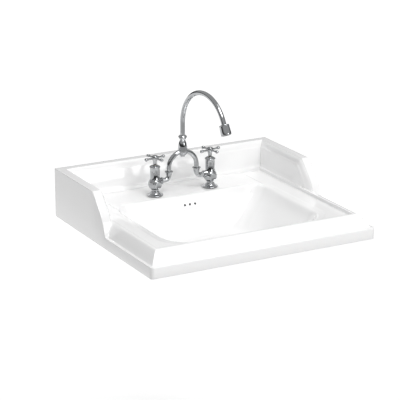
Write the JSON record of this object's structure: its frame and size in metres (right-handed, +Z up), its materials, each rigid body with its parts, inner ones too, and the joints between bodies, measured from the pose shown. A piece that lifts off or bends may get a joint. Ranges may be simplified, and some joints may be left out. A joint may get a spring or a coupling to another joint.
{
  "type": "washbasin with bridge mixer tap",
  "caption": "White glazed washbasin with raised back and side wings, stepped rim, chrome bridge mixer tap with cross handles, swivel spout and push plug waste.",
  "frame": {"origin": "on the wall plane, midway between the two wall bolt holes, level with the lower edge of the apron", "axes": "+X to the right seen from the room, +Y into the wall, +Z up"},
  "size_m": [0.65, 0.565, 0.4668],
  "materials": {
    "glaze": "high-gloss white glaze",
    "chrome": "polished chrome plate over brass",
    "brass": "as turned",
    "disc_ceramic": "lapped alumina",
    "cap": "polished",
    "rubber": "moulded",
    "steel": "stainless",
    "plastic": "moulded"
  },
  "bodies": {
    "body": {"arch_tube_left": "chrome", "arch_tube_right": "chrome", "backnuts": "brass", "base_flange_left": "chrome", "base_flange_right": "chrome", "base_seals": "rubber", "basin": "glaze", "bonnet_left": "chrome", "bonnet_right": "chrome", "bridge_hub": "chrome", "cartridge_body_left": "brass", "cartridge_body_right": "brass", "click_cartridge": "plastic", "deck_washers": "plastic", "elbow_left": "chrome", "elbow_right": "chrome", "fixed_disc_left": "disc_ceramic", "fixed_disc_right": "disc_ceramic", "pillar_body_left": "chrome", "pillar_body_right": "chrome", "spout_collar": "chrome", "union_collar_left": "chrome", "union_collar_right": "chrome", "waste_backnut": "brass", "waste_body": "chrome", "waste_seal_lower": "rubber", "waste_seal_upper": "rubber"},
    "left_valve": {"handle_left": "chrome", "handle_screw_left": "steel", "index_cap_left": "cap", "spindle_left": "brass", "rotating_disc_left": "disc_ceramic", "spindle_ring_left": "rubber"},
    "right_valve": {"handle_right": "chrome", "handle_screw_right": "steel", "index_cap_right": "cap", "spindle_right": "brass", "rotating_disc_right": "disc_ceramic", "spindle_ring_right": "rubber"},
    "spout": {"spout_tube": "chrome", "aerator_housing": "chrome", "aerator_insert": "plastic", "aerator_washer": "rubber", "spout_rings": "rubber"},
    "waste_plug": {"plug": "chrome", "plug_seal": "rubber", "plunger": "steel"}
  },
  "joints": [
    {"name": "left_handle_turn", "type": "hinge", "parent": "body", "child": "left_valve", "pos_m": [-0.084, -0.116, 0.16], "axis": [0, 0, 1], "range_deg": [0, 90]},
    {"name": "right_handle_turn", "type": "hinge", "parent": "body", "child": "right_valve", "pos_m": [0.084, -0.116, 0.16], "axis": [0, 0, -1], "range_deg": [0, 90]},
    {"name": "spout_swivel", "type": "hinge", "parent": "body", "child": "spout", "pos_m": [0, -0.116, 0.2], "axis": [0, 0, 1], "range_deg": [-95, 85]},
    {"name": "plug_lift", "type": "slide", "parent": "body", "child": "waste_plug", "axis": [0, 0, 1], "range_m": [0, 0.008]}
  ]
}
